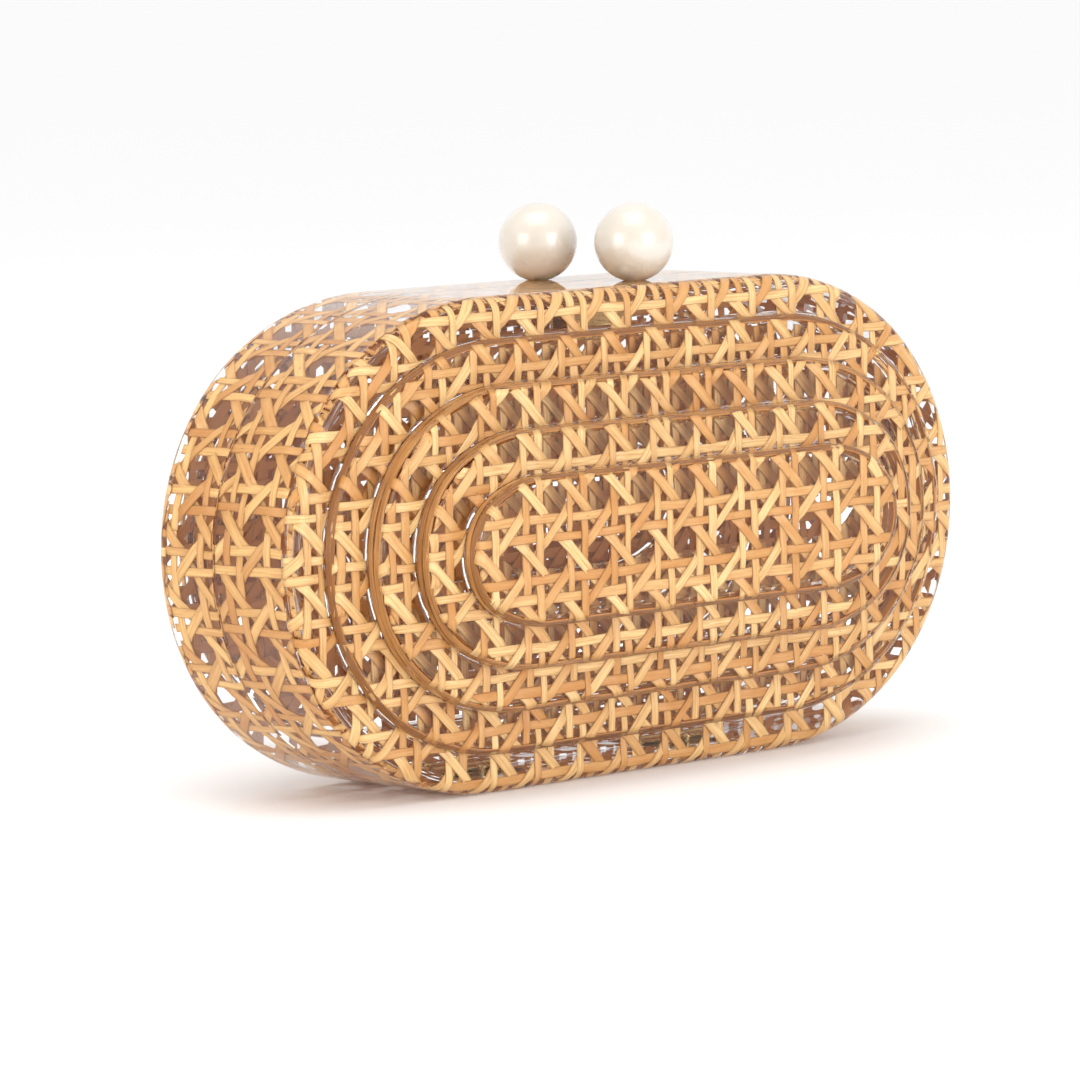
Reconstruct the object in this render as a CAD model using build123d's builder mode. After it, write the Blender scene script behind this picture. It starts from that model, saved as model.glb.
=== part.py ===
from build123d import *

import os
from math import atan2, degrees, sqrt

# A hard oval box clutch. Two stepped shells of clear acrylic, the front one deeper, meet at a parting
# plane and swing apart on two small hinges let into the bottom. Each shell is lined with woven cane: a
# band round the side, a ring behind the flat rim and one piece behind each raised tier, with a narrow
# strip along every riser. A pearl knob on each half works as a pull, and two magnets hold them shut.
# Millimetres. X runs along the width, the front faces -Y, Z is up, and z = 0 is the flat bottom.
# The whole depth is centred on y = 0. Depths and reaches are counted from the parting plane.

# Outline of the body, seen from the front: straights joined by shoulder arcs and round ends
body_width = 200.0
body_height = 105.0
shoulder_ease = 11.5  # how much the shoulder radius is over half the height
end_ease = 2.0  # how much the end radius is under half the height

# Depth of each half, and the tiers that step forward from its flat rim
front_depth = 24.7
back_depth = 18.7
first_inset = 8.7
first_rise = 2.7
tier_inset = 9.3
tier_rise = 4.65
tier_count = 4

# Acrylic shells
wall = 1.6
parting_gap = 0.3
body_edge_radius = 3.5
tier_edge_radius = 1.3
riser_root_radius = 0.8

# Cane linings
cane_thickness = 1.2
strip_thickness = 1.0
rim_clearance = 0.5  # from the parting face to the edge of the band

# Pearl knobs and the studs that hold them
pearl_diameter = 17.2
pearl_setback = 5.2  # from the cane behind the shallower half's rim to the middle of the pearl
pearl_flat = 0.3  # how much of the sphere is cut away where it seats
clasp_x = 9.0  # middle of the clasp, which sits to one side
pearl_stagger = 4.2  # each pearl's distance from the middle of the clasp, along the width
stud_diameter = 2.5
stud_tail = 0.6
nut_flats = 5.0
nut_height = 2.0

# Magnetic catch under the top
bracket_width = 18.0
bracket_thickness = 0.8
bracket_drop = 10.0
bracket_margin = 3.5  # from the middle of the stud to the end of the bracket
bracket_corner = 1.5
magnet_diameter = 8.0
magnet_thickness = 2.0
magnet_chamfer = 0.3

# Hinges in the bottom
hinge_length = 20.0
hinge_margin = 1.5  # from the hinge to the end of the flat bottom
hinge_lift = 0.4  # from the ground to the lowest point of the barrel
barrel_diameter = 3.2
pin_diameter = 1.4
pin_clearance = 0.05  # radial, in the knuckle that turns
end_knuckle = 6.0
knuckle_gap = 0.2
leaf_thickness = 0.7
leaf_reach = 9.0
leaf_corner = 1.5
leaf_clearance = 0.3
barrel_clearance = 0.4
rivet_diameter = 1.6
rivet_head_diameter = 2.8
rivet_head_height = 0.3
rivet_inner_height = 0.7
rivet_spacing = 6.0
rivet_count = 3

# Places worked out from the sizes above
mid_height = body_height / 2
end_radius = mid_height - end_ease
shoulder_radius = mid_height + shoulder_ease
radius_step = shoulder_radius - end_radius
shoulder_run = sqrt(radius_step**2 - shoulder_ease**2)
end_half_angle = degrees(atan2(shoulder_ease, shoulder_run))
flat_half = body_width / 2 - end_radius - shoulder_run
rim = parting_gap / 2
parting_y = (front_depth - back_depth) / 2
insets = [0.0] + [first_inset + tier_inset * step for step in range(tier_count)]
rises = [0.0] + [first_rise + tier_rise * step for step in range(tier_count)]
pearl_radius = pearl_diameter / 2
pearl_depth = min(front_depth, back_depth) - wall - cane_thickness - pearl_setback
pearl_z = body_height + pearl_radius - pearl_flat
lining_top = body_height - wall - cane_thickness
nut_top = lining_top - bracket_thickness
barrel_radius = barrel_diameter / 2
axis_height = hinge_lift + barrel_radius
leaf_top = hinge_lift + leaf_thickness
hinge_x = flat_half - hinge_margin - hinge_length / 2
rivet_depth = (barrel_radius + leaf_reach) / 2
lining_floor = wall + cane_thickness
cut_over = 1.0  # how far a cutting body runs past the surface that it cuts


def oval(inset):
    """The body's outline drawn in by inset, about its own middle."""
    half_height = mid_height - inset
    shoulder_angle = 90 - end_half_angle
    with BuildSketch(mode=Mode.PRIVATE) as outline:
        with BuildLine():
            upper = JernArc((flat_half, half_height), (1, 0), shoulder_radius - inset, -shoulder_angle)
            end = JernArc(upper @ 1, upper % 1, end_radius - inset, -2 * end_half_angle)
            JernArc(end @ 1, end % 1, shoulder_radius - inset, -shoulder_angle)
            mirror(about=Plane.YZ)
            Line((-flat_half, half_height), (flat_half, half_height))
            Line((-flat_half, -half_height), (flat_half, -half_height))
        make_face()
    return outline.sketch


def facing(side, depth):
    """The plane at this depth in one half, looking away from the parting plane."""
    return Plane(origin=(0, parting_y + side * depth, mid_height), x_dir=(1, 0, 0), z_dir=(0, side, 0))


def level(height):
    """The level plane at this height, with its origin in the parting plane."""
    return Plane(origin=(0, parting_y, height))


def across(x):
    """The upright plane across the width at x: its x runs back from the parting plane, its y runs up."""
    return Plane(origin=(x, parting_y, 0), x_dir=(0, 1, 0), z_dir=(1, 0, 0))


def rivet_row(radius, places):
    """Circles for a row of rivets, centred on each of these places."""
    with BuildSketch(mode=Mode.PRIVATE) as row:
        with Locations(*places):
            with GridLocations(rivet_spacing, 0, rivet_count, 1):
                Circle(radius)
    return row.sketch


def save(piece, name):
    """Label a finished piece and write it under its own name."""
    piece.part.label = name
    export_step(piece.part, f"parts/{name}.step")


os.makedirs("parts", exist_ok=True)

for half, side, half_depth in (("front", -1, front_depth), ("back", 1, back_depth)):
    depths = [half_depth + rise for rise in rises]
    stud_x = clasp_x - side * pearl_stagger
    stud_place = (stud_x, side * pearl_depth)
    hinge_places = [(-hinge_x, side * rivet_depth), (hinge_x, side * rivet_depth)]

    # Clear shell: stepped outside, the same steps inside, one wall thick throughout
    with BuildPart() as shell:
        with BuildSketch(facing(side, rim)):
            add(oval(0))
        extrude(amount=half_depth - rim)
        for step in range(1, tier_count + 1):
            with BuildSketch(facing(side, depths[step - 1])):
                add(oval(insets[step]))
            extrude(amount=depths[step] - depths[step - 1])
        flats = shell.faces().filter_by(Axis.Y).sort_by(lambda face: side * face.center().Y)
        edge_loops = [flat.outer_wire().edges() for flat in flats[1:]]
        root_loops = [flat.inner_wires()[0].edges() for flat in flats[1:-1]]
        fillet(edge_loops[0], body_edge_radius)
        for loop in edge_loops[1:]:
            fillet(loop, tier_edge_radius)
        for loop in root_loops:
            fillet(loop, riser_root_radius)
        for step in range(tier_count + 1):
            with BuildSketch(facing(side, rim - cut_over)):
                add(oval(insets[step] + wall))
            extrude(amount=depths[step] - wall - rim + cut_over, mode=Mode.SUBTRACT)
        # The bottom edge is bevelled up to the hinge axis, so that the half can swing
        with BuildSketch(across(-body_width / 2)):
            with BuildLine():
                Polyline(
                    (0, axis_height),
                    (side * (axis_height + cut_over), -cut_over),
                    (0, -cut_over),
                    close=True,
                )
            make_face()
        extrude(amount=body_width, mode=Mode.SUBTRACT)
        # Room for each hinge: a slot for the barrel and a shallow recess for the leaf
        with Locations((-hinge_x, parting_y, -cut_over), (hinge_x, parting_y, -cut_over)):
            Box(
                hinge_length + 2 * leaf_clearance,
                2 * (barrel_radius + barrel_clearance),
                axis_height + barrel_radius + barrel_clearance + cut_over,
                align=(Align.CENTER, Align.CENTER, Align.MIN),
                mode=Mode.SUBTRACT,
            )
            Box(
                hinge_length + 2 * leaf_clearance,
                2 * (leaf_reach + leaf_clearance),
                leaf_top + cut_over,
                align=(Align.CENTER, Align.CENTER, Align.MIN),
                mode=Mode.SUBTRACT,
            )
        with BuildSketch(level(0)):
            add(rivet_row(rivet_diameter / 2, hinge_places))
        extrude(amount=lining_floor, mode=Mode.SUBTRACT)
        with BuildSketch(level(body_height + cut_over)):
            with Locations(stud_place):
                Circle(stud_diameter / 2)
        extrude(amount=-(wall + 2 * cut_over), mode=Mode.SUBTRACT)
    save(shell, f"{half}_shell")

    # Cane band round the inside of the side wall
    with BuildPart() as band:
        with BuildSketch(facing(side, rim + rim_clearance)):
            add(oval(wall))
            add(oval(wall + cane_thickness), mode=Mode.SUBTRACT)
        extrude(amount=half_depth - wall - rim - rim_clearance)
        with Locations((-hinge_x, parting_y, 0), (hinge_x, parting_y, 0)):
            Box(
                hinge_length + 2 * leaf_clearance,
                2 * (barrel_radius + barrel_clearance),
                axis_height + barrel_radius + barrel_clearance,
                align=(Align.CENTER, Align.CENTER, Align.MIN),
                mode=Mode.SUBTRACT,
            )
        with BuildSketch(level(0)):
            add(rivet_row(rivet_diameter / 2, hinge_places))
        extrude(amount=lining_floor + cut_over, mode=Mode.SUBTRACT)
        with BuildSketch(level(body_height)):
            with Locations(stud_place):
                Circle(stud_diameter / 2)
        extrude(amount=-(wall + cane_thickness + cut_over), mode=Mode.SUBTRACT)
    save(band, f"{half}_band_cane")

    # Flat cane ring behind the rim, then the cane of each tier; the last tier is a full oval
    for step in range(tier_count + 1):
        lining = cane_thickness if step == 0 else strip_thickness
        with BuildPart() as panel:
            with BuildSketch(facing(side, depths[step] - wall)):
                add(oval(insets[step] + wall + lining))
                if step < tier_count:
                    add(oval(insets[step + 1] + wall), mode=Mode.SUBTRACT)
            extrude(amount=-cane_thickness)
        name = f"{half}_rim_cane" if step == 0 else f"{half}_tier_{step}_cane"
        save(panel, name)

    # Cane strip along the inside of each riser, from one panel's back to the next panel's face
    for step in range(1, tier_count + 1):
        strip_start = depths[step - 1] - wall - cane_thickness
        with BuildPart() as strip:
            with BuildSketch(facing(side, strip_start)):
                add(oval(insets[step] + wall))
                add(oval(insets[step] + wall + strip_thickness), mode=Mode.SUBTRACT)
            extrude(amount=depths[step] - wall - strip_start)
        save(strip, f"{half}_riser_{step}_strip")

    # Pearl knob: a sphere with a small flat seat and a blind bore for its stud
    with BuildPart(Plane((stud_x, parting_y + side * pearl_depth, pearl_z))) as pearl:
        Sphere(pearl_radius)
        split(bisect_by=level(body_height), keep=Keep.TOP)
        with Locations((0, 0, -pearl_radius)):
            Cylinder(
                stud_diameter / 2,
                pearl_radius,
                align=(Align.CENTER, Align.CENTER, Align.MIN),
                mode=Mode.SUBTRACT,
            )
    save(pearl, f"{half}_pearl")

    # Stud from the middle of the pearl to just past its nut
    stud_foot = nut_top - nut_height - stud_tail
    with BuildPart() as stud:
        with BuildSketch(level(stud_foot)):
            with Locations(stud_place):
                Circle(stud_diameter / 2)
        extrude(amount=pearl_z - stud_foot)
        chamfer(stud.faces().sort_by(Axis.Z)[0].edges(), magnet_chamfer)
    save(stud, f"{half}_pearl_stud")

    # Bracket under the top: clamped by the stud's nut, with a drop that carries the magnet
    magnet_back = rim + magnet_thickness
    with BuildPart() as bracket:
        with BuildSketch(across(clasp_x)):
            with BuildLine():
                Polyline(
                    (side * magnet_back, lining_top),
                    (side * (pearl_depth + bracket_margin), lining_top),
                    (side * (pearl_depth + bracket_margin), nut_top),
                    (side * (magnet_back + bracket_thickness), nut_top),
                    (side * (magnet_back + bracket_thickness), lining_top - bracket_drop),
                    (side * magnet_back, lining_top - bracket_drop),
                    close=True,
                )
            make_face()
        extrude(amount=bracket_width / 2, both=True)
        far_corners = bracket.edges().filter_by(Axis.Z).sort_by(lambda edge: side * edge.center().Y)[-2:]
        low_corners = bracket.edges().filter_by(Axis.Y).sort_by(Axis.Z)[:2]
        fillet(far_corners + low_corners, bracket_corner)
        with BuildSketch(level(lining_top)):
            with Locations(stud_place):
                Circle(stud_diameter / 2)
        extrude(amount=-bracket_thickness, mode=Mode.SUBTRACT)
    save(bracket, f"{half}_catch_bracket")

    # Disc magnet on the bracket's drop, its face at the parting plane
    magnet_z = nut_top - (bracket_drop - bracket_thickness) / 2
    with BuildPart() as magnet:
        with BuildSketch(Plane(origin=(clasp_x, parting_y + side * rim, magnet_z), z_dir=(0, side, 0))):
            Circle(magnet_diameter / 2)
        extrude(amount=magnet_thickness)
        chamfer(magnet.edges().filter_by(GeomType.CIRCLE), magnet_chamfer)
    save(magnet, f"{half}_magnet")

    # Hexagon nut on the stud
    with BuildPart() as nut:
        with BuildSketch(level(nut_top)):
            with Locations(stud_place):
                RegularPolygon(nut_flats / 2, side_count=6, major_radius=False)
                Circle(stud_diameter / 2, mode=Mode.SUBTRACT)
        extrude(amount=-nut_height)
    save(nut, f"{half}_pearl_nut")

    # One leaf of each hinge with its rivets; the back leaf carries the two end knuckles
    middle_knuckle = hinge_length - 2 * (end_knuckle + knuckle_gap)
    end_knuckle_x = (hinge_length - end_knuckle) / 2
    end_knuckles = [(-end_knuckle_x, end_knuckle), (end_knuckle_x, end_knuckle)]
    knuckles = [(0, middle_knuckle)] if side < 0 else end_knuckles
    bore_radius = pin_diameter / 2 + (pin_clearance if side < 0 else 0)
    root = barrel_radius + leaf_clearance
    for hand, middle_x in (("left", -hinge_x), ("right", hinge_x)):
        with BuildPart() as leaf:
            with BuildSketch(level(hinge_lift)):
                with Locations((middle_x, side * (root + leaf_reach) / 2)):
                    Rectangle(hinge_length, leaf_reach - root)
            extrude(amount=leaf_thickness)
            far_edges = leaf.edges().filter_by(Axis.Z).sort_by(lambda edge: side * edge.center().Y)[-2:]
            fillet(far_edges, leaf_corner)
            with BuildSketch(level(hinge_lift)):
                for knuckle_x, length in knuckles:
                    with Locations((middle_x + knuckle_x, side * root / 2)):
                        Rectangle(length, root)
            extrude(amount=leaf_thickness)
            for knuckle_x, length in knuckles:
                with BuildSketch(across(middle_x + knuckle_x)):
                    with Locations((0, axis_height)):
                        Circle(barrel_radius)
                extrude(amount=length / 2, both=True)
            with BuildSketch(across(middle_x)):
                with Locations((0, axis_height)):
                    Circle(bore_radius)
            extrude(amount=hinge_length / 2, both=True, mode=Mode.SUBTRACT)
            with BuildSketch(level(hinge_lift)):
                add(rivet_row(rivet_diameter / 2, [(middle_x, side * rivet_depth)]))
            extrude(amount=leaf_thickness, mode=Mode.SUBTRACT)
        save(leaf, f"{hand}_hinge_{half}_leaf")

        with BuildPart() as rivets:
            with BuildSketch(level(hinge_lift - rivet_head_height)):
                add(rivet_row(rivet_head_diameter / 2, [(middle_x, side * rivet_depth)]))
            extrude(amount=rivet_head_height)
            with BuildSketch(level(hinge_lift)):
                add(rivet_row(rivet_diameter / 2, [(middle_x, side * rivet_depth)]))
            extrude(amount=lining_floor - hinge_lift)
            with BuildSketch(level(lining_floor)):
                add(rivet_row(rivet_head_diameter / 2, [(middle_x, side * rivet_depth)]))
            extrude(amount=rivet_inner_height)
            fillet(rivets.faces().group_by(Axis.Z)[-1].edges(), rivet_inner_height / 2)
        save(rivets, f"{hand}_hinge_{half}_rivets")

# Hinge pins, tight in the back leaves' knuckles and free in the front ones
for hand, middle_x in (("left", -hinge_x), ("right", hinge_x)):
    with BuildPart() as pin:
        with BuildSketch(across(middle_x)):
            with Locations((0, axis_height)):
                Circle(pin_diameter / 2)
        extrude(amount=hinge_length / 2, both=True)
    save(pin, f"{hand}_hinge_pin")
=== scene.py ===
# %% [markdown]
# # A basket box bag, dressed
# The bag is two tiered shells of clear acrylic, hinged along the bottom, lined with woven
# cane on every wall, with a pair of pearls as its clasp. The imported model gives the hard
# parts; this notebook weaves the cane and finishes every surface.

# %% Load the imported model
import math

import bpy
import numpy as np
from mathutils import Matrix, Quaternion, Vector


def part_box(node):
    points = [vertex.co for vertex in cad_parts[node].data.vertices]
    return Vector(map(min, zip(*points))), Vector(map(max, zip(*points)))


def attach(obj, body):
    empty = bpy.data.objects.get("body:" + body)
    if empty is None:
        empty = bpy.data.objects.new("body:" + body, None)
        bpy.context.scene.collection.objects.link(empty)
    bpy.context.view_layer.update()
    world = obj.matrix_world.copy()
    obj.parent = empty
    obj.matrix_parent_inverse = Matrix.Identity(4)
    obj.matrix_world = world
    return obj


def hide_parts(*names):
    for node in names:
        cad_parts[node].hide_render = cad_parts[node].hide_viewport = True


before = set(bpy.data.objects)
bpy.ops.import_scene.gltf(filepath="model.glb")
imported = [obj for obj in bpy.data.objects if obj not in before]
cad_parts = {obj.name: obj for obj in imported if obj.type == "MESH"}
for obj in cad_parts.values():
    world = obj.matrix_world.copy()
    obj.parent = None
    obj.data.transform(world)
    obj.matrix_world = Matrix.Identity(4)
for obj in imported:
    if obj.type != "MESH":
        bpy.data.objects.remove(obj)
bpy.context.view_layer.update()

MM = 0.001
print("nodes in the frame:", len(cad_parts))

# %% [markdown]
# ## The outline that everything follows
# Seen from the front the bag is an oval of two arcs: a long flat top and bottom, a gentle
# shoulder arc and a tighter end arc. Every tier is the same outline moved inwards, so one
# function of the distance round the outline and of the inset gives every edge on the bag.

# %% Measure the outline from the front shell
shell_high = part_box("front_shell")[1]
half_width = shell_high.x
half_height = shell_high.z / 2
end_ease = 2.0 * MM
shoulder_ease = 11.5 * MM
end_radius = half_height - end_ease
shoulder_radius = half_height + shoulder_ease
shoulder_run = math.sqrt((shoulder_radius - end_radius) ** 2 - shoulder_ease**2)
flat_half = half_width - end_radius - shoulder_run
end_turn = math.atan2(shoulder_ease, shoulder_run)
shoulder_turn = math.pi / 2 - end_turn
print("flat top from the middle:", round(flat_half / MM, 2), "mm")


def quarter_length(inset):
    """A quarter of the outline's length: the flat, then each arc's radius times its turn."""
    return flat_half + (shoulder_radius - inset) * shoulder_turn + (end_radius - inset) * end_turn


def oval(distance, inset):
    """Points x, z and outward directions on the outline moved inwards by inset.

    The distance starts at the middle of the top and runs to the right. It is folded into one
    quarter, split into its run on the flat and its turns on the two arcs, and the point is
    the flat run plus each arc's radius times the sine of its turn; signs unfold the quarter.
    """
    shoulder, end, quarter = shoulder_radius - inset, end_radius - inset, quarter_length(inset)
    lap = np.mod(distance, 4 * quarter)
    run = quarter - np.abs(np.mod(lap, 2 * quarter) - quarter)
    right = np.where(lap < 2 * quarter, 1.0, -1.0)
    up = np.where(np.abs(lap - 2 * quarter) > quarter, 1.0, -1.0)
    first = np.clip((run - flat_half) / shoulder, 0, shoulder_turn)
    turn = first + np.clip((run - flat_half - shoulder * shoulder_turn) / end, 0, end_turn)
    x = np.minimum(run, flat_half) + shoulder * np.sin(first) + end * (np.sin(turn) - np.sin(first))
    z = half_height - inset - shoulder * (1 - np.cos(first)) - end * (np.cos(first) - np.cos(turn))
    return right * x, up * z, right * np.sin(turn), up * np.cos(turn)


def depth_inside(x, z):
    """How far a point lies inside the outline, and the outward direction there.

    Folded into one quarter, the depth is the half height less z over the flat, and past the
    flat the arc's radius less the distance from that arc's centre, which gives the direction.
    """
    right, up = np.where(x < 0, -1.0, 1.0), np.where(z < 0, -1.0, 1.0)
    x, z = np.abs(x), np.abs(z)
    on_end = (x - flat_half - shoulder_run) * shoulder_ease > z * shoulder_run
    over_x = np.maximum(x - flat_half - np.where(on_end, shoulder_run, 0), 0)
    over_z = z + np.where(on_end, 0, shoulder_ease)
    away = np.hypot(over_x, over_z)
    radius = np.where(on_end, end_radius, shoulder_radius)
    away = np.maximum(away, 1e-9)
    return radius - away, right * over_x / away, up * over_z / away


def inset_of(node):
    """How far inside the bag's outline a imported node's own outline lies."""
    return half_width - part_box(node)[1].x


# %% [markdown]
# ## The weave
# Chair cane is woven six ways: pairs of uprights, pairs of rungs, and two diagonals that cut
# the corners off each square to leave an eight-sided hole. Each strand is a straight line in
# the sheet that rises and dips as it passes over and under the others, so its height is a
# smooth function of its place in the pattern and no strand has to be simulated.

# %% Sizes of the cane
pitch = 12.7 * MM
pair_offset = 1.95 * MM
strand_thickness = 0.42 * MM
layer_step = 0.45 * MM
half_widths = {
    "upright": 1.04 * MM,
    "rung": 1.02 * MM,
    "fall": 1.2 * MM,
    "climb": 1.12 * MM,
    "binder": 0.8 * MM,
}
sample_step = 0.9 * MM
section = np.array(
    [(-1, 0.2), (-0.88, 0.82), (0, 1), (0.88, 0.82), (1, 0.2), (0.94, -1), (0, -1), (-0.94, -1)]
)
section_corners = (0, 1, 3, 4, 5, 7)
sheet_half = layer_step + strand_thickness / 2
diagonal = 1 / math.sqrt(2)
plateau_stretch = 4.5


def swing(place):
    """One dip and one rise either side of a crossing pair, dying away before the next: the
    distance from the pair's middle over its offset, times a bell curve that peaks there."""
    tau = (np.mod(place, pitch) - pitch / 2) / pair_offset
    return tau * np.exp(0.5 - 0.5 * tau**2)


def plateau(place):
    """Level stretches joined by short slopes: the hyperbolic tangent of a stretched cosine."""
    return np.tanh(plateau_stretch * np.cos(2 * math.pi * place / pitch))


def lift(kind, pair_side, a, b):
    """Height of a strand's middle line over the sheet's middle, at a, b from a hole's centre."""
    if kind == "upright":
        return -pair_side * layer_step / 2 * swing(b)
    if kind == "rung":
        return pair_side * layer_step / 2 * swing(a)
    if kind == "binder":
        return 0.0 * a
    return (-1 if kind == "fall" else 1) * layer_step * plateau(a)


def strand_lines(kinds, columns, rows, slants):
    """Every strand's kind, start and direction from a hole's centre. Uprights stand half a
    pitch from the holes in pairs, rungs lie likewise, and the diagonals start half a pitch up."""
    lines = []
    for kind, count, start, direction in (
        ("upright", columns, (1, 0), (0, 1)),
        ("rung", rows, (0, 1), (1, 0)),
        ("fall", slants, (0, 1), (diagonal, -diagonal)),
        ("climb", slants, (0, 1), (diagonal, diagonal)),
    ):
        sides = (-1, 1) if kind in ("upright", "rung") else (0,)
        for step in count if kind in kinds else ():
            for pair_side in sides:
                away = (step + 0.5) * pitch + pair_side * pair_offset
                lines.append((kind, pair_side, np.array(start) * away, np.array(direction)))
    return lines


# %% [markdown]
# A strand is kept only where it lies inside its panel. The panel says how much room a point
# has to its nearest edge; the strand's line is sampled finely, split into the stretches that
# have room, and its two ends are cut on the slant of the edge that they meet.

# %% Cut and shape one strand
fine_step = 0.1 * MM
shortest = 2.4 * MM


def stretches(start, direction, reach, half_width_of, room):
    """The stretches of a line with room on both sides, as pairs of distances and end slants.

    A point counts when its room passes the strand's half width times the fourth power of how
    nearly the strand runs along the edge. An end's slant is the edge's slope across the strand.
    """
    side = np.array((-direction[1], direction[0]))
    along = np.arange(reach[0], reach[1], fine_step)
    here = start + along[:, None] * direction

    def clear(shift):
        return room(here[:, 0] + shift[0], here[:, 1] + shift[1])

    space = clear((0, 0))
    lean_side = (clear(side * fine_step) - space) / fine_step
    lean_along = (clear(direction * fine_step) - space) / fine_step
    inside = space > half_width_of * np.abs(lean_side) ** 4
    edges = np.flatnonzero(np.diff(np.concatenate(([0], inside.astype(int), [0]))))
    steep = np.where(np.abs(lean_along) < 0.3, 1e9, lean_along)
    slant = np.clip(-lean_side / steep, -1.6, 1.6)
    return [
        (along[first], along[last - 1], slant[first], slant[last - 1])
        for first, last in zip(edges[::2], edges[1::2])
        if (last - first) * fine_step > shortest
    ]


def shape_strand(kind, pair_side, start, direction, stretch, rng):
    """One strand's points a, b, h and its own coordinates, on a grid of samples by section.

    The middle line is the straight run plus a slow sideways wave; across it the section is
    scaled by a slowly changing width, rolled a little, and raised by the weave's lift.
    """
    low, high, low_slant, high_slant = stretch
    samples = max(3, int((high - low) / sample_step) + 1)
    share = np.linspace(0, 1, samples)[:, None]
    across, rise = section[None, :, 0], section[None, :, 1]
    width = half_widths[kind] * rng.uniform(0.88, 1.1)
    along = (low + low_slant * across * width) * (1 - share) + (high + high_slant * across * width) * share
    wave = rng.uniform(0, 2 * math.pi, 3)
    swell = 1 + 0.07 * np.sin(along / (6.5 * MM) + wave[0])
    drift = 0.16 * MM * np.sin(along / (5.2 * MM) + wave[1]) + rng.uniform(-0.14, 0.14) * MM
    roll = rng.uniform(-0.09, 0.09) + 0.07 * np.sin(along / (4.1 * MM) + wave[2])
    side = np.array((-direction[1], direction[0]))
    sideways = across * width * swell + drift
    a = start[0] + along * direction[0] + sideways * side[0]
    b = start[1] + along * direction[1] + sideways * side[1]
    middle_a = start[0] + along * direction[0]
    middle_b = start[1] + along * direction[1]
    h = lift(kind, pair_side, middle_a, middle_b) + roll * across * width + rise * strand_thickness / 2
    own = np.stack(np.broadcast_arrays(along / pitch, across, rng.uniform()), axis=-1)
    return np.stack((a, b, h), axis=-1), own


# %% [markdown]
# All the strands of one panel become one mesh. The vertices of each strand form a grid,
# samples by section points; quads join neighbours on the grid and the two end rings are
# closed. Attributes keep each point's place along and across its strand, the strand's own
# random tone, and which points are on its underside, so the grain follows the cane round
# every bend and the underside can take painted shade. The section's corners are marked
# sharp, because cane is split flat, not round.

# %% Make a mesh from strands
ring = len(section)


def grid_faces(samples, base):
    """Quads between neighbouring rings of a closed strand, and its two end caps."""
    index = base + np.arange(samples * ring).reshape(samples, ring)
    around = np.roll(index, -1, axis=1)
    quads = np.stack((index[:-1], index[1:], around[1:], around[:-1]), axis=-1).reshape(-1, 4)
    return quads.tolist() + [index[0].tolist(), index[-1][::-1].tolist()]


def mesh_piece(name, points, own, faces, material):
    """A mesh object from whole arrays, smooth shaded but for its section's corners, with the
    strand and underside attributes. An edge is sharp when both its ends are one same corner."""
    mesh = bpy.data.meshes.new(name)
    mesh.from_pydata(points.tolist(), [], faces)
    mesh.shade_smooth()
    place = np.arange(len(points)) % ring
    ends = np.empty(2 * len(mesh.edges), np.int32)
    mesh.edges.foreach_get("vertices", ends)
    first, second = place[ends[::2]], place[ends[1::2]]
    sharp = (first == second) & np.isin(first, section_corners)
    mesh.attributes.new("sharp_edge", "BOOLEAN", "EDGE").data.foreach_set("value", sharp)
    mesh.attributes.new("strand", "FLOAT_VECTOR", "POINT").data.foreach_set("vector", own.ravel())
    # Points on a strand's underside, which the cane finish darkens as painted shade.
    under = (section[place, 1] < 0).astype(np.float32)
    mesh.attributes.new("underside", "FLOAT", "POINT").data.foreach_set("value", under)
    mesh.materials.append(material)
    piece = bpy.data.objects.new(name, mesh)
    bpy.context.scene.collection.objects.link(piece)
    return piece


def weave(name, lines, hole, reach_of, room, place, material, seed, stretch_b=1.0):
    """Weaves a panel: cut each line to the panel, shape its strands, and place them in space.

    hole is a hole's centre in the sheet, reach_of gives the distances to search along each
    kind, room is the panel's shape, and place turns sheet points a, b, h into x, y, z.
    """
    rng = np.random.default_rng(seed)
    points, coordinates, faces, base = [], [], [], 0
    for kind, pair_side, start, direction in lines:
        found = stretches(
            start, direction, reach_of(kind), half_widths[kind],
            lambda a, b: room(a + hole[0], b + hole[1]),
        )
        for stretch in found:
            strand, own = shape_strand(kind, pair_side, start, direction, stretch, rng)
            faces += grid_faces(len(strand), base)
            base += strand.shape[0] * ring
            points.append(strand.reshape(-1, 3))
            coordinates.append(own.reshape(-1, 3))
    sheet = np.concatenate(points)
    a, b, h = sheet[:, 0] + hole[0], (sheet[:, 1] + hole[1]) * stretch_b, sheet[:, 2]
    placed = np.stack(place(a, b, h), axis=-1)
    piece = mesh_piece(name, placed, np.concatenate(coordinates), faces, material)
    print(name, "strands", len(points), "faces", len(faces))
    return piece


# %% [markdown]
# ## The finish of the cane
# Cane is the skin of a vine: honey coloured, with long fine fibres, a satin face, and small
# brown flecks where leaf joints were. One node group makes the grain from each strand's own
# coordinates and paints shade along each strand's edges and on its underside; the tiers, the
# darker band and the risers give it their own colours, the risers' darker ones as painted shade.

# %% Node helpers


def socket(group, name, kind, way, default=None):
    """A named input or output on a node group."""
    made = group.interface.new_socket(name=name, in_out=way, socket_type=kind)
    if default is not None:
        made.default_value = default
    return made


def put(tree, kind, **values):
    """A node of a kind. A value given by input name is set, or linked when it is a socket."""
    node = tree.nodes.new(kind)
    for name, value in values.items():
        if name.startswith("set_"):
            setattr(node, name[4:], value)
            continue
        key = int(name[1:]) if name[0] == "i" and name[1:].isdigit() else name.replace("_", " ")
        if isinstance(value, bpy.types.NodeSocket):
            tree.links.new(value, node.inputs[key])
        else:
            node.inputs[key].default_value = value
    return node


def maths(tree, operation, first, second=0.0, clamp=False):
    """A maths node's result."""
    node = put(tree, "ShaderNodeMath", set_operation=operation, set_use_clamp=clamp, i0=first, i1=second)
    return node.outputs[0]


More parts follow.
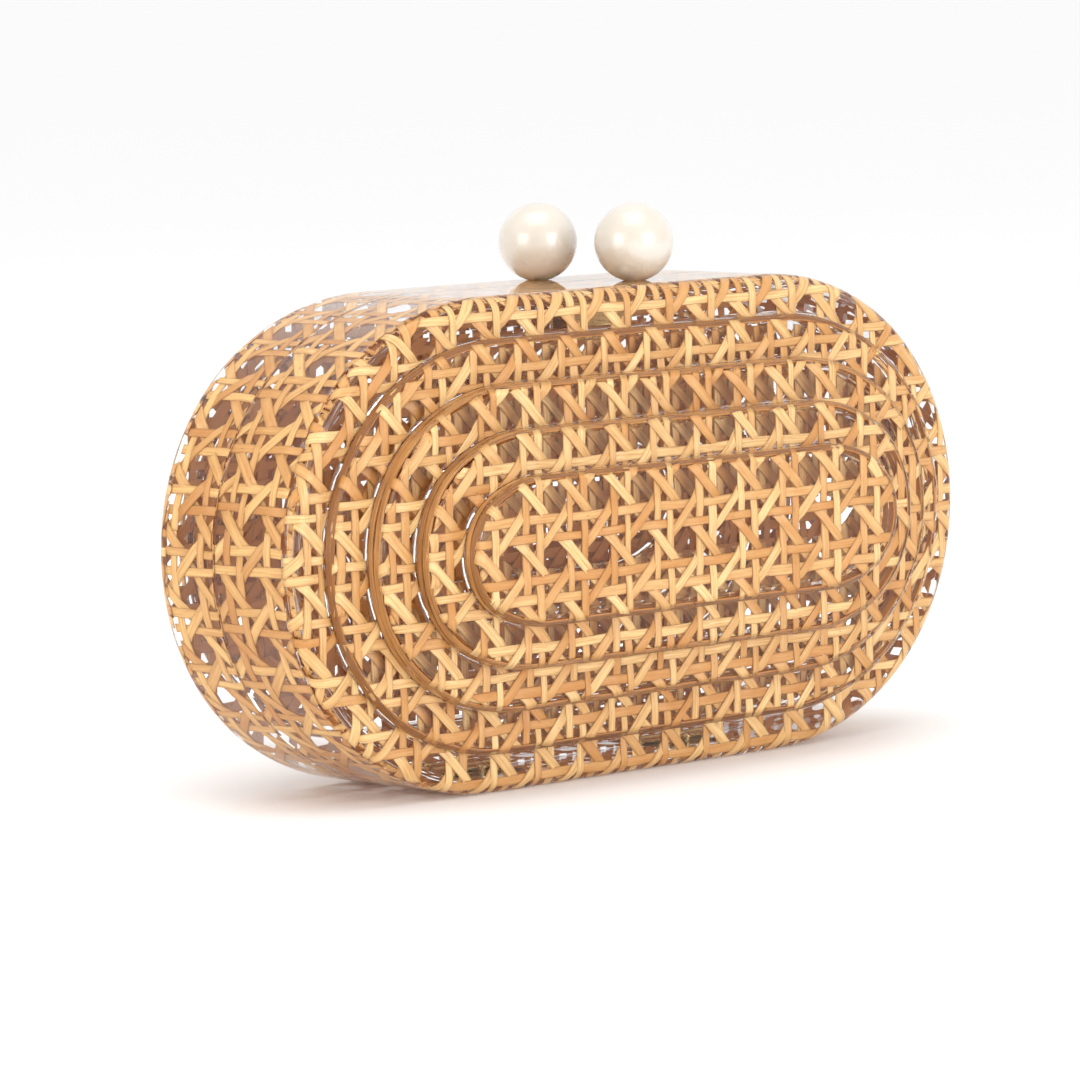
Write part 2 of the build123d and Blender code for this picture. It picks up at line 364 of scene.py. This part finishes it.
def blend(tree, factor, first, second, how="MIX"):
    """Two colours mixed by a factor."""
    node = put(
        tree, "ShaderNodeMix", set_data_type="RGBA", set_blend_type=how,
        i0=factor, i6=first, i7=second,
    )
    return node.outputs[2]


def ramp(tree, factor, stops):
    """A colour ramp with the given (place, colour) stops."""
    node = put(tree, "ShaderNodeValToRGB", i0=factor)
    node.color_ramp.interpolation = "EASE"
    elements = node.color_ramp.elements
    while len(elements) < len(stops):
        elements.new(0.5)
    for element, (place, colour) in zip(elements, stops):
        element.position = place
        element.color = colour if len(colour) == 4 else (*colour, 1)
    return node.outputs[0]


def colour(red, green, blue):
    """A colour from its 0-255 screen values, made linear by the usual curve."""
    screen = np.array((red, green, blue)) / 255
    linear = np.where(screen <= 0.04045, screen / 12.92, ((screen + 0.055) / 1.055) ** 2.4)
    return (*linear.tolist(), 1.0)


# %% The cane grain group
grain = bpy.data.node_groups.new("cane_grain", "ShaderNodeTree")
for name, kind, default in (
    ("Strand", "NodeSocketVector", None),
    ("Underside", "NodeSocketFloat", 0.0),
    ("Pale", "NodeSocketColor", colour(250, 222, 170)),
    ("Deep", "NodeSocketColor", colour(226, 170, 98)),
    # The colour of real flecks, also painted along strand edges as shade.
    ("Fleck And Edge Shade", "NodeSocketColor", colour(120, 70, 30)),
    # The darker brown painted on the strands' undersides as shade.
    ("Underside Shade", "NodeSocketColor", colour(206, 134, 58)),
    ("Streaks", "NodeSocketFloat", 0.5),
):
    socket(grain, name, kind, "INPUT", default)
for name, kind in (
    ("Colour", "NodeSocketColor"),
    ("Roughness", "NodeSocketFloat"),
    ("Height", "NodeSocketFloat"),
):
    socket(grain, name, kind, "OUTPUT")
given = grain.nodes.new("NodeGroupInput").outputs
result = grain.nodes.new("NodeGroupOutput").inputs


def grain_noise(scale, detail, roughness=0.6):
    """Noise in the strand's coordinates, stretched by scale along, across and between strands."""
    place = put(grain, "ShaderNodeVectorMath", set_operation="MULTIPLY", i0=given["Strand"], i1=scale)
    node = put(
        grain, "ShaderNodeTexNoise", Vector=place.outputs[0], Scale=1.0, Detail=detail, Roughness=roughness
    )
    return node.outputs[0]


parts = put(grain, "ShaderNodeSeparateXYZ", i0=given["Strand"]).outputs
fibres = grain_noise((1.1, 2.8, 61.0), 5.0, 0.7)
mottle = grain_noise((1.6, 0.5, 83.0), 2.0)
specks = grain_noise((9.0, 2.2, 131.0), 1.0, 0.4)
tone = maths(grain, "ADD", maths(grain, "MULTIPLY", parts[2], 0.75), maths(grain, "MULTIPLY", mottle, 0.6))
deepness = put(grain, "ShaderNodeMapRange", i0=tone, i1=0.35, i2=1.15, i3=0.0, i4=1.0).outputs[0]
base_colour = blend(grain, deepness, given["Pale"], given["Deep"])
fibre_mask = put(grain, "ShaderNodeMapRange", i0=fibres, i1=0.43, i2=0.64, i3=0.0, i4=1.0).outputs[0]
streaked = blend(grain, maths(grain, "MULTIPLY", fibre_mask, given["Streaks"]), base_colour, given["Deep"])
# Painted shade: each strand darkens towards the fleck colour near its edges, where contact shade falls; the
# same falloff lowers the bump.
edge = maths(grain, "POWER", maths(grain, "ABSOLUTE", parts[1]), 5.0)
edge_shaded = blend(grain, maths(grain, "MULTIPLY", edge, 0.42), streaked, given["Fleck And Edge Shade"])
fleck_mask = put(grain, "ShaderNodeMapRange", i0=specks, i1=0.74, i2=0.80, i3=0.0, i4=0.55).outputs[0]
flecked = blend(grain, fleck_mask, edge_shaded, given["Fleck And Edge Shade"])
# Painted shade: points on a strand's underside are blended towards a darker brown.
underside_shaded = blend(grain, maths(grain, "MULTIPLY", given["Underside"], 0.8), flecked, given["Underside Shade"])
grain.links.new(underside_shaded, result["Colour"])
rough = put(grain, "ShaderNodeMapRange", i0=fibres, i1=0.3, i2=0.7, i3=0.40, i4=0.58).outputs[0]
grain.links.new(rough, result["Roughness"])
grain.links.new(maths(grain, "SUBTRACT", fibres, maths(grain, "MULTIPLY", edge, 0.3)), result["Height"])


def cane_material(name, pale, deep, fleck_and_edge_shade, streaks, bump=0.35):
    """A satin cane with its own pale, deep and fleck colours; the fleck one also paints edge shade."""
    material = bpy.data.materials.new(name)
    material.use_nodes = True
    tree = material.node_tree
    tree.nodes.clear()
    strand = put(tree, "ShaderNodeAttribute", set_attribute_name="strand").outputs["Vector"]
    looks = tree.nodes.new("ShaderNodeGroup")
    looks.node_tree = grain
    tree.links.new(strand, looks.inputs["Strand"])
    under = put(tree, "ShaderNodeAttribute", set_attribute_name="underside").outputs["Fac"]
    tree.links.new(under, looks.inputs["Underside"])
    for key, value in (("Pale", pale), ("Deep", deep), ("Fleck And Edge Shade", fleck_and_edge_shade), ("Streaks", streaks)):
        looks.inputs[key].default_value = value
    bumped = put(tree, "ShaderNodeBump", Strength=bump, Distance=0.15 * MM, Height=looks.outputs["Height"])
    shader = put(
        tree, "ShaderNodeBsdfPrincipled",
        Base_Color=looks.outputs["Colour"], Roughness=looks.outputs["Roughness"], Normal=bumped.outputs[0],
    )
    shader.inputs["Coat Weight"].default_value = 0.15
    shader.inputs["Coat Roughness"].default_value = 0.3
    put(tree, "ShaderNodeOutputMaterial", Surface=shader.outputs[0])
    return material


tier_cane = cane_material("tier_cane", colour(234, 198, 136), colour(192, 128, 58), colour(98, 52, 16), 0.7)
band_cane = cane_material("band_cane", colour(226, 182, 114), colour(184, 120, 52), colour(92, 48, 14), 0.7)
# Painted shade: the risers' cane colours are darker than the tier cane's, for the shade under each tier.
riser_cane_painted_shade = cane_material("riser_cane_painted_shade", colour(196, 140, 76), colour(132, 80, 34), colour(70, 38, 14), 0.9)
print("cane finishes:", tier_cane.name, band_cane.name, riser_cane_painted_shade.name)

# %% [markdown]
# ## Face panels
# Each face has five flat sheets: the rim's ring, three tier rings and the top tier's oval.
# A sheet lies just under the acrylic's surface and its outer edge bends back over the
# corner. Behind each tier's edge a second, lapped sheet shows through the holes of the first,
# and the back's last tier has a whole one. Each sheet starts at its own place in the
# pattern, as pieces cut from one roll do.

# %% Weave the face panels
wall_thickness = inset_of("front_band_cane")
skin = 0.35 * MM
seat = skin + sheet_half
bend_radii = (2.3 * MM, 0.45 * MM, 0.45 * MM, 0.45 * MM, 0.45 * MM)
lap_gap = 0.5 * MM
lap = 10.0 * MM
no_edge = 1.0
lap_seed = 500
rings = ("rim", "tier_1", "tier_2", "tier_3", "tier_4")
hole_places = {
    "front": ((2.0, 5.6), (-3.75, 3.9), (-6.35, 3.05), (1.5, -3.6), (-2.6, -1.7)),
    "back": ((4.6, -2.85), (2.0, -3.25), (-2.4, -3.9), (5.95, -4.55), (1.6, -5.15)),
}
lap_shift = np.array((4.4, -0.65)) * MM + np.array((pitch / 2, 0))
face_lines = strand_lines(("upright", "rung", "fall", "climb"), range(-9, 9), range(-6, 6), range(-14, 14))
outwards = {"front": -1.0, "back": 1.0}


def face_reach(kind):
    """Distances to search along a strand: past the outline's far corner on both sides."""
    return -2.4 * half_width, 2.4 * half_width


def face_shape(start, bend_radius, inner):
    """The room in a face sheet that bends back at start: past it the sheet runs on for a
    quarter turn, and inwards it ends at the inner inset."""
    limit = start - bend_radius * math.pi / 2

    def room(a, b):
        inside = depth_inside(a, b)[0]
        return np.minimum(inside - limit, inner - inside)

    return room


def face_place(start, bend_radius, middle, outward):
    """Places a face sheet: flat inside the line at start, then round a quarter turn.

    Past the line by e, the turn is e over the bend's radius, up to a right angle, and the rest
    runs straight back. The point moves out by radius times sine, less e, and back by radius
    times one less cosine; the sheet's height turns with it.
    """

    def place(a, b, h):
        depth, across, up = depth_inside(a, b)
        past = np.maximum(start - depth, 0)
        turn = np.minimum(past / bend_radius, math.pi / 2)
        slide = bend_radius * np.sin(turn) - past + h * np.sin(turn)
        back = bend_radius * (1 - np.cos(turn)) + past - bend_radius * turn
        x, z = a + across * slide, b + up * slide
        return -outward * x, middle + outward * (h * np.cos(turn) - back), z + half_height

    return place


def outer_face(node, outward):
    """The y of the acrylic's surface over a cane node, one wall thickness outside it."""
    low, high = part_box(node)
    return (low.y if outward < 0 else high.y) + outward * wall_thickness


for side, outward in outwards.items():
    for level, ring_name in enumerate(rings):
        node = f"{side}_{ring_name}_cane"
        hole = np.array(hole_places[side][level]) * MM
        middle = outer_face(node, outward) - outward * seat
        wall_inset = inset_of(f"{side}_riser_{level}_strip") - wall_thickness if level else 0.0
        start = wall_inset + seat + bend_radii[level]
        inner = no_edge if level == 4 else inset_of(f"{side}_riser_{level + 1}_strip")
        seed = 11 * level + (3 if side == "front" else 71)
        panel = weave(
            f"{side}_{ring_name}_weave", face_lines, hole, face_reach,
            face_shape(start, bend_radii[level], inner),
            face_place(start, bend_radii[level], middle, outward),
            tier_cane, seed=seed,
        )
        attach(panel, f"{side}_half")
        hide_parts(node)
        if level == 4:
            continue
        whole = side == "back" and level == 3
        lap_hole = np.array(hole_places[side][level + 1]) * MM + lap_shift
        backing = weave(
            f"{side}_{ring_name}_lap", face_lines, lap_hole, face_reach,
            face_shape(inner + lap_gap, 0.0, no_edge if whole else inner + lap),
            face_place(0.0, 1.0, middle, outward),
            tier_cane, seed=seed + lap_seed,
        )
        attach(backing, f"{side}_half")

# %% [markdown]
# ## Side bands
# The side wall carries a strip of the same cane, bent round the oval with the pattern's
# upright along the rim. The pitch is eased so that a whole number of holes goes round.

# %% Weave the side bands
band_holes = {"front": (9.5, 7.2), "back": (-11.6, 6.0)}
pin_low, pin_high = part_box("left_hinge_pin")
hinge_height = (pin_low.z + pin_high.z) / 2
parting_skin = 0.15 * MM
leaf_gap = 0.4 * MM


def wrapped(inset):
    """Places a strip on the outline: b runs round it from the middle of the bottom, a runs
    towards the front, and h rises along the outline's outward direction."""

    def place(a, b, h):
        x, z, across, up = oval(b + 2 * quarter_length(inset), inset)
        return x + across * h, -a, z + up * h + half_height

    return place


for side, outward in outwards.items():
    node = f"{side}_band_cane"
    low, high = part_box(f"{side}_shell")
    around = 4 * quarter_length(seat)
    holes = round(around / pitch)
    ease = around / (holes * pitch)
    corner = -outer_face(node, outward) + outward * (seat + bend_radii[0])
    parting = -(high.y if outward < 0 else low.y)
    leaves = [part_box(f"{hand}_hinge_{side}_leaf") for hand in ("left", "right")]

    def band_room(a, b, corner=corner, parting=parting, leaves=leaves, outward=outward, ease=ease):
        """The least of the rooms to the bend, to the parting edge and to a hinge's leaf.

        Near the ground the parting edge is set back by as much as the strip lies below the
        hinge's axis, like the shell's own bevel, so that the halves swing clear.
        """
        x, z, across, up = oval(b * ease + 2 * quarter_length(seat), seat)
        height = z + half_height - sheet_half
        setback = parting_skin + np.maximum(hinge_height - height, 0)
        space = np.minimum(outward * (a - corner), outward * (parting - a) - setback)
        for leaf_low, leaf_high in leaves:
            middle, half = (leaf_low + leaf_high) / 2, (leaf_high - leaf_low) / 2
            away = np.maximum(np.abs(x - middle.x) - half.x, np.abs(a + middle.y) - half.y)
            space = np.where(height < hinge_height, np.minimum(space, away - leaf_gap), space)
        return space

    def band_reach(kind, length=holes * pitch):
        return (0, length) if kind == "upright" else (-4 * pitch, 4 * pitch)

    hole = (band_holes[side][0] * MM, quarter_length(seat) / ease + band_holes[side][1] * MM)
    lines = strand_lines(("upright", "rung", "fall", "climb"), range(-3, 3), range(holes), range(holes))
    band = weave(
        f"{side}_band_weave", lines, hole, band_reach, band_room, wrapped(seat),
        band_cane, seed=29 if side == "front" else 97, stretch_b=ease,
    )
    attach(band, f"{side}_half")
    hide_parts(node)

# %% [markdown]
# ## Risers
# The narrow wall under each tier is lined with one or two long strands laid round it, which
# bind the cut ends of the sheet above. They lie in its shade, and their cane is coloured darker
# as painted shade.

# %% Lay the riser strips
cane_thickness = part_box("front_rim_cane")[1].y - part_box("front_rim_cane")[0].y
binder_places = (0.9 * MM, 2.7 * MM)
for side, outward in outwards.items():
    for level in range(1, 5):
        node = f"{side}_riser_{level}_strip"
        low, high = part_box(node)
        inset = inset_of(node) - wall_thickness + seat
        root = (high.y if outward < 0 else low.y) + outward * (cane_thickness + wall_thickness)
        rise = high.y - low.y - cane_thickness
        places = [p for p in binder_places if p < rise - 1.0 * MM]

        def riser_reach(kind, length=4 * quarter_length(inset)):
            return 0, length

        strip = weave(
            f"{side}_riser_{level}_weave",
            [("binder", 0, np.array((-root - outward * p, 0.0)), np.array((0, 1))) for p in places],
            (0.0, 0.0), riser_reach, lambda a, b: 1.0 + 0 * a, wrapped(inset),
            riser_cane_painted_shade, seed=200 + 10 * level + (1 if side == "front" else 2),
        )
        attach(strip, f"{side}_half")
        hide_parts(node)

# %% [markdown]
# ## Clear acrylic
# The shells are clear cast acrylic, about as strong a lens as window glass. Shadow rays and
# scattered light are let straight through, because a renderer otherwise finds no lamp behind
# a curved clear wall and the cane inside would be black. Head-on reflections are toned down,
# as a polarising filter would, and glancing ones stay.

# %% The acrylic


def acrylic_material(name):
    material = bpy.data.materials.new(name)
    material.use_nodes = True
    tree = material.node_tree
    tree.nodes.clear()
    where = put(tree, "ShaderNodeTexCoord").outputs["Object"]
    smears = put(tree, "ShaderNodeTexNoise", Vector=where, Scale=38.0, Detail=3.0).outputs[0]
    rough = put(tree, "ShaderNodeMapRange", i0=smears, i1=0.35, i2=0.75, i3=0.0, i4=0.035).outputs[0]
    shader = put(tree, "ShaderNodeBsdfPrincipled", Roughness=rough)
    shader.inputs["Base Color"].default_value = (1, 1, 1, 1)
    shader.inputs["Transmission Weight"].default_value = 1.0
    shader.inputs["IOR"].default_value = 1.49
    shader.inputs["Specular Tint"].default_value = (0.18, 0.18, 0.18, 1)
    clear = tree.nodes.new("ShaderNodeBsdfTransparent")
    path = tree.nodes.new("ShaderNodeLightPath").outputs
    lamp_or_bounce = maths(tree, "MAXIMUM", path["Is Shadow Ray"], path["Is Diffuse Ray"])
    mixed = put(tree, "ShaderNodeMixShader", i0=lamp_or_bounce, i1=shader.outputs[0], i2=clear.outputs[0])
    put(tree, "ShaderNodeOutputMaterial", Surface=mixed.outputs[0])
    return material


def dress(nodes, material):
    """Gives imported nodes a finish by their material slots."""
    for node in nodes:
        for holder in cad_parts[node].material_slots:
            holder.material = material
    print(material.name, "on", len(nodes), "nodes")


acrylic = acrylic_material("clear_acrylic")
dress(["front_shell", "back_shell"], acrylic)

# %% [markdown]
# ## Pearls and metal
# The clasp's balls are ivory pearls: a white body under a clear lustre, with slow clouds of
# warm and cool tint. Hinges and studs are brass, the magnets nickel, both faintly brushed.

# %% The pearl


def pearl_material(name):
    material = bpy.data.materials.new(name)
    material.use_nodes = True
    tree = material.node_tree
    tree.nodes.clear()
    where = put(tree, "ShaderNodeTexCoord").outputs["Object"]
    clouds = put(tree, "ShaderNodeTexNoise", Vector=where, Scale=90.0, Detail=2.0).outputs[0]
    tints = (0.35, colour(206, 197, 183)), (0.55, colour(214, 206, 194)), (0.75, colour(202, 198, 188))
    body = ramp(tree, clouds, tints)
    rough = put(tree, "ShaderNodeMapRange", i0=clouds, i1=0.3, i2=0.7, i3=0.24, i4=0.32).outputs[0]
    shader = put(tree, "ShaderNodeBsdfPrincipled", Base_Color=body, Roughness=rough)
    shader.inputs["Specular IOR Level"].default_value = 0.9
    shader.inputs["Coat Weight"].default_value = 0.8
    shader.inputs["Coat Roughness"].default_value = 0.2
    put(tree, "ShaderNodeOutputMaterial", Surface=shader.outputs[0])
    return material


dress(["front_pearl", "back_pearl"], pearl_material("pearl_lustre"))

# %% The metals


def metal_material(name, body, low, high, scale):
    """A metal of one body colour, faintly brushed and clouded."""
    material = bpy.data.materials.new(name)
    material.use_nodes = True
    tree = material.node_tree
    tree.nodes.clear()
    where = put(tree, "ShaderNodeTexCoord").outputs["Object"]
    stretched = put(tree, "ShaderNodeVectorMath", set_operation="MULTIPLY", i0=where, i1=(1.0, 9.0, 9.0))
    brushed = put(tree, "ShaderNodeTexNoise", Vector=stretched.outputs[0], Scale=scale, Detail=4.0).outputs[0]
    rough = put(tree, "ShaderNodeMapRange", i0=brushed, i1=0.3, i2=0.7, i3=low, i4=high).outputs[0]
    tint = blend(tree, brushed, body, tuple(0.8 * c for c in body[:3]) + (1.0,))
    shader = put(tree, "ShaderNodeBsdfPrincipled", Base_Color=tint, Roughness=rough, Metallic=1.0)
    put(tree, "ShaderNodeOutputMaterial", Surface=shader.outputs[0])
    return material


brass = metal_material("pale_brass", colour(238, 208, 146), 0.16, 0.34, 220.0)
nickel = metal_material("magnet_nickel", colour(222, 220, 214), 0.12, 0.28, 220.0)
fittings = [
    node
    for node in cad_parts
    if node.startswith(("left_", "right_")) or node.endswith(("bracket", "stud", "nut"))
]
dress(fittings, brass)
dress(["front_magnet", "back_magnet"], nickel)

# %% [markdown]
# ## Studio
# A pale floor, a white surround, and three soft boxes: one either side of the camera and a
# wide one overhead. Light crosses many clear walls to reach the cane at the back, so the
# limits on its bounces are raised.

# %% Floor and surround
floor_half = 40.0
floor_mesh = bpy.data.meshes.new("floor")
corners = floor_half * np.array([(-1, -1, 0), (1, -1, 0), (1, 1, 0), (-1, 1, 0)])
floor_mesh.from_pydata(corners.tolist(), [], [(0, 1, 2, 3)])
floor = bpy.data.objects.new("floor", floor_mesh)
bpy.context.scene.collection.objects.link(floor)
paper = bpy.data.materials.new("studio_paper")
paper.use_nodes = True
paper.node_tree.nodes["Principled BSDF"].inputs["Base Color"].default_value = (0.96, 0.96, 0.96, 1)
paper.node_tree.nodes["Principled BSDF"].inputs["Roughness"].default_value = 0.8
floor_mesh.materials.append(paper)

world = bpy.data.worlds.new("white_surround")
world.use_nodes = True
world.node_tree.nodes["Background"].inputs["Color"].default_value = (1, 1, 1, 1)
world.node_tree.nodes["Background"].inputs["Strength"].default_value = 1.0
bpy.context.scene.world = world
bpy.context.scene.view_settings.view_transform = "Standard"
cycles = bpy.context.scene.cycles
cycles.max_bounces = 20
cycles.diffuse_bounces = 8
cycles.transmission_bounces = 16
cycles.transparent_max_bounces = 32

# %% Camera and soft boxes
azimuth, elevation, roll = math.radians(-43.38), math.radians(5.74), math.radians(-1.28)
distance = 1.32269
target = Vector((-9.47 * MM, 0.0, half_height - 2.73 * MM))


def direction_of(turn, height):
    """The direction from the bag at a turn from the front and a height over the floor."""
    return Vector((math.sin(turn) * math.cos(height), -math.cos(turn) * math.cos(height), math.sin(height)))


def aim(thing, backward, roll=0.0):
    """Points an object's own -Z along the opposite of backward, with Z up, then rolls it."""
    thing.rotation_mode = "QUATERNION"
    thing.rotation_quaternion = backward.to_track_quat("Z", "Y") @ Quaternion((0, 0, 1), roll)


camera_data = bpy.data.cameras.new("camera")
camera_data.lens = 203.69
camera_data.sensor_width = 36.0
camera = bpy.data.objects.new("camera", camera_data)
bpy.context.scene.collection.objects.link(camera)
camera.location = target + distance * direction_of(azimuth, elevation)
aim(camera, direction_of(azimuth, elevation), roll)
bpy.context.scene.camera = camera

for name, turn, height, away, size, power in (
    ("left_box", azimuth - math.radians(45), math.radians(13), 1.3, 0.7, 4.5),
    ("right_box", azimuth + math.radians(45), math.radians(13), 1.3, 0.7, 6.0),
    ("top_box", azimuth, math.radians(78), 1.4, 1.1, 6.5),
):
    lamp_data = bpy.data.lights.new(name, "AREA")
    lamp_data.shape = "SQUARE"
    lamp_data.size = size
    lamp_data.energy = power
    lamp = bpy.data.objects.new(name, lamp_data)
    bpy.context.scene.collection.objects.link(lamp)
    lamp.location = target + away * direction_of(turn, height)
    aim(lamp, direction_of(turn, height))
